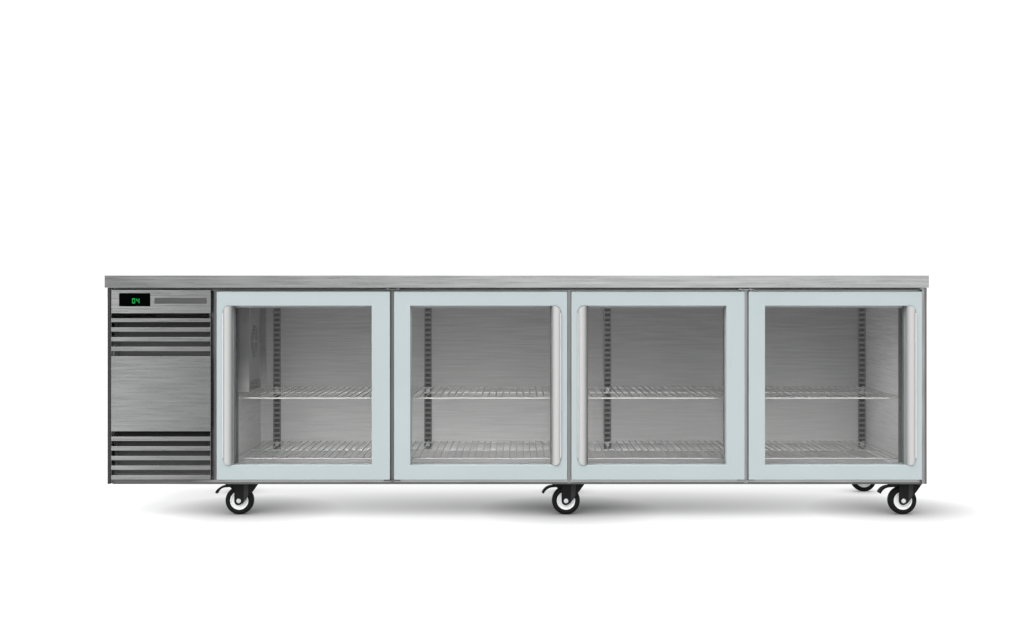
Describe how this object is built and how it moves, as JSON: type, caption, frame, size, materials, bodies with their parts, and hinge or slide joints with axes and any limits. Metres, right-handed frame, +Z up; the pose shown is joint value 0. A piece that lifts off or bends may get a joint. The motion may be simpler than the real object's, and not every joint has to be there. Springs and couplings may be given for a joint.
{
  "type": "under counter fridge",
  "caption": "Long stainless under counter fridge on castors, with glazed doors, wire shelves and a louvred machine bay at the left.",
  "frame": {"origin": "on the floor, under the middle of the worktop", "axes": "+Z up, +X to the right seen from the front, doors facing -Y"},
  "size_m": [2.89, 0.7, 0.85],
  "materials": {
    "stainless": "fine horizontal brush",
    "liner_stainless": "satin",
    "worktop_stainless": "fine horizontal brush",
    "galvanised": "dull zinc",
    "wire": "bright plated wire",
    "foam": "rigid foam",
    "door_profile": "satin pale aqua",
    "handle": "satin light grey",
    "glazing": "clear",
    "seal": "matt grey",
    "display": "gloss black",
    "badge": "satin grey",
    "black_steel": "black powder coat",
    "pedal": "black",
    "wheel": "black rubber with a light grey hub",
    "zinc": "bright zinc",
    "fins": "mill",
    "filter": "fine dark mesh",
    "copper": "copper",
    "black_plastic": "black",
    "grey_plastic": "light grey"
  },
  "bodies": {
    "cabinet": {"worktop": "worktop_stainless", "top_deck": "galvanised", "side_panels": "stainless", "back_panel": "galvanised", "base_panel": "galvanised", "face_frame": "stainless", "inner_liner": "liner_stainless", "insulation": "foam", "shelf_strips": "liner_stainless", "shelf_clips": "zinc", "wire_shelves": "wire", "hinge_brackets": "zinc", "control_fascia": "stainless", "display_module": "display", "badge_strip": "badge", "air_filter": "filter", "unit_tray": "galvanised", "compressor": "black_steel", "condenser_coil": "fins", "fan_shroud": "black_steel", "evaporator_coil": "fins", "evaporator_cover": "liner_stainless", "refrigerant_pipes": "copper", "control_box": "grey_plastic", "castor_plates": "zinc", "fasteners": "zinc"},
    "grille": {"front_grille": "stainless"},
    "condenser_blades": {"condenser_fan": "black_plastic"},
    "evaporator_blades": {"evaporator_fan": "black_plastic"},
    "door_1": {"door_frame_1": "door_profile", "door_glass_1": "glazing", "door_gasket_1": "seal", "door_handle_1": "handle"},
    "door_2": {"door_frame_2": "door_profile", "door_glass_2": "glazing", "door_gasket_2": "seal", "door_handle_2": "handle"},
    "door_3": {"door_frame_3": "door_profile", "door_glass_3": "glazing", "door_gasket_3": "seal", "door_handle_3": "handle"},
    "door_4": {"door_frame_4": "door_profile", "door_glass_4": "glazing", "door_gasket_4": "seal", "door_handle_4": "handle"},
    "castor_1": {"castor_fork_1": "black_steel"},
    "wheel_1": {"castor_wheel_1": "wheel"},
    "pedal_1": {"brake_pedal_1": "pedal"},
    "castor_2": {"castor_fork_2": "black_steel"},
    "wheel_2": {"castor_wheel_2": "wheel"},
    "pedal_2": {"brake_pedal_2": "pedal"},
    "castor_3": {"castor_fork_3": "black_steel"},
    "wheel_3": {"castor_wheel_3": "wheel"},
    "pedal_3": {"brake_pedal_3": "pedal"},
    "castor_4": {"castor_fork_4": "black_steel"},
    "wheel_4": {"castor_wheel_4": "wheel"},
    "castor_5": {"castor_fork_5": "black_steel"},
    "wheel_5": {"castor_wheel_5": "wheel"},
    "castor_6": {"castor_fork_6": "black_steel"},
    "wheel_6": {"castor_wheel_6": "wheel"}
  },
  "joints": [
    {"name": "door_1_hinge", "type": "hinge", "parent": "cabinet", "child": "door_1", "pos_m": [-0.45325, -0.334, 0.463], "axis": [0, 0, 1], "range_deg": [0, 90], "stiffness_Nm_per_rad": 1, "springref_deg": -34.38},
    {"name": "door_2_hinge", "type": "hinge", "parent": "cabinet", "child": "door_2", "pos_m": [-0.42275, -0.334, 0.463], "axis": [0, 0, -1], "range_deg": [0, 90], "stiffness_Nm_per_rad": 1, "springref_deg": -34.38},
    {"name": "door_3_hinge", "type": "hinge", "parent": "cabinet", "child": "door_3", "pos_m": [0.79225, -0.334, 0.463], "axis": [0, 0, 1], "range_deg": [0, 90], "stiffness_Nm_per_rad": 1, "springref_deg": -34.38},
    {"name": "door_4_hinge", "type": "hinge", "parent": "cabinet", "child": "door_4", "pos_m": [0.82275, -0.334, 0.463], "axis": [0, 0, -1], "range_deg": [0, 90], "stiffness_Nm_per_rad": 1, "springref_deg": -34.38},
    {"name": "castor_1_swivel", "type": "hinge", "parent": "cabinet", "child": "castor_1", "pos_m": [-0.963, -0.267, 0.12], "axis": [0, 0, 1], "continuous": true},
    {"name": "wheel_1_spin", "type": "hinge", "parent": "castor_1", "child": "wheel_1", "pos_m": [-0.987, -0.267, 0.05], "axis": [0, 1, 0], "continuous": true},
    {"name": "pedal_1_lift", "type": "hinge", "parent": "castor_1", "child": "pedal_1", "pos_m": [-1.005, -0.267, 0.107], "axis": [0, 1, 0], "range_deg": [0, 6]},
    {"name": "castor_2_swivel", "type": "hinge", "parent": "cabinet", "child": "castor_2", "pos_m": [0.199, -0.267, 0.12], "axis": [0, 0, 1], "continuous": true},
    {"name": "wheel_2_spin", "type": "hinge", "parent": "castor_2", "child": "wheel_2", "pos_m": [0.175, -0.267, 0.05], "axis": [0, 1, 0], "continuous": true},
    {"name": "pedal_2_lift", "type": "hinge", "parent": "castor_2", "child": "pedal_2", "pos_m": [0.157, -0.267, 0.107], "axis": [0, 1, 0], "range_deg": [0, 6]},
    {"name": "castor_3_swivel", "type": "hinge", "parent": "cabinet", "child": "castor_3", "pos_m": [1.397, -0.267, 0.12], "axis": [0, 0, 1], "continuous": true},
    {"name": "wheel_3_spin", "type": "hinge", "parent": "castor_3", "child": "wheel_3", "pos_m": [1.373, -0.267, 0.05], "axis": [0, 1, 0], "continuous": true},
    {"name": "pedal_3_lift", "type": "hinge", "parent": "castor_3", "child": "pedal_3", "pos_m": [1.355, -0.267, 0.107], "axis": [0, 1, 0], "range_deg": [0, 6]},
    {"name": "castor_4_swivel", "type": "hinge", "parent": "cabinet", "child": "castor_4", "pos_m": [-1.074, 0.267, 0.12], "axis": [0, 0, 1], "continuous": true},
    {"name": "wheel_4_spin", "type": "hinge", "parent": "castor_4", "child": "wheel_4", "pos_m": [-1.098, 0.267, 0.05], "axis": [0, 1, 0], "continuous": true},
    {"name": "castor_5_swivel", "type": "hinge", "parent": "cabinet", "child": "castor_5", "pos_m": [0.218, 0.267, 0.12], "axis": [0, 0, 1], "continuous": true},
    {"name": "wheel_5_spin", "type": "hinge", "parent": "castor_5", "child": "wheel_5", "pos_m": [0.194, 0.267, 0.05], "axis": [0, 1, 0], "continuous": true},
    {"name": "castor_6_swivel", "type": "hinge", "parent": "cabinet", "child": "castor_6", "pos_m": [1.397, 0.267, 0.12], "axis": [0, 0, 1], "continuous": true},
    {"name": "wheel_6_spin", "type": "hinge", "parent": "castor_6", "child": "wheel_6", "pos_m": [1.373, 0.267, 0.05], "axis": [0, 1, 0], "continuous": true},
    {"name": "grille_lift_off", "type": "slide", "parent": "cabinet", "child": "grille", "axis": [0, -1, 0], "range_m": [0, 0.06]},
    {"name": "condenser_fan_spin", "type": "hinge", "parent": "cabinet", "child": "condenser_blades", "pos_m": [-1.247, -0.21, 0.268], "axis": [0, 1, 0], "continuous": true},
    {"name": "evaporator_fan_spin", "type": "hinge", "parent": "cabinet", "child": "evaporator_blades", "pos_m": [-0.978, -0.117, 0.61], "axis": [1, 0, 0], "continuous": true}
  ]
}
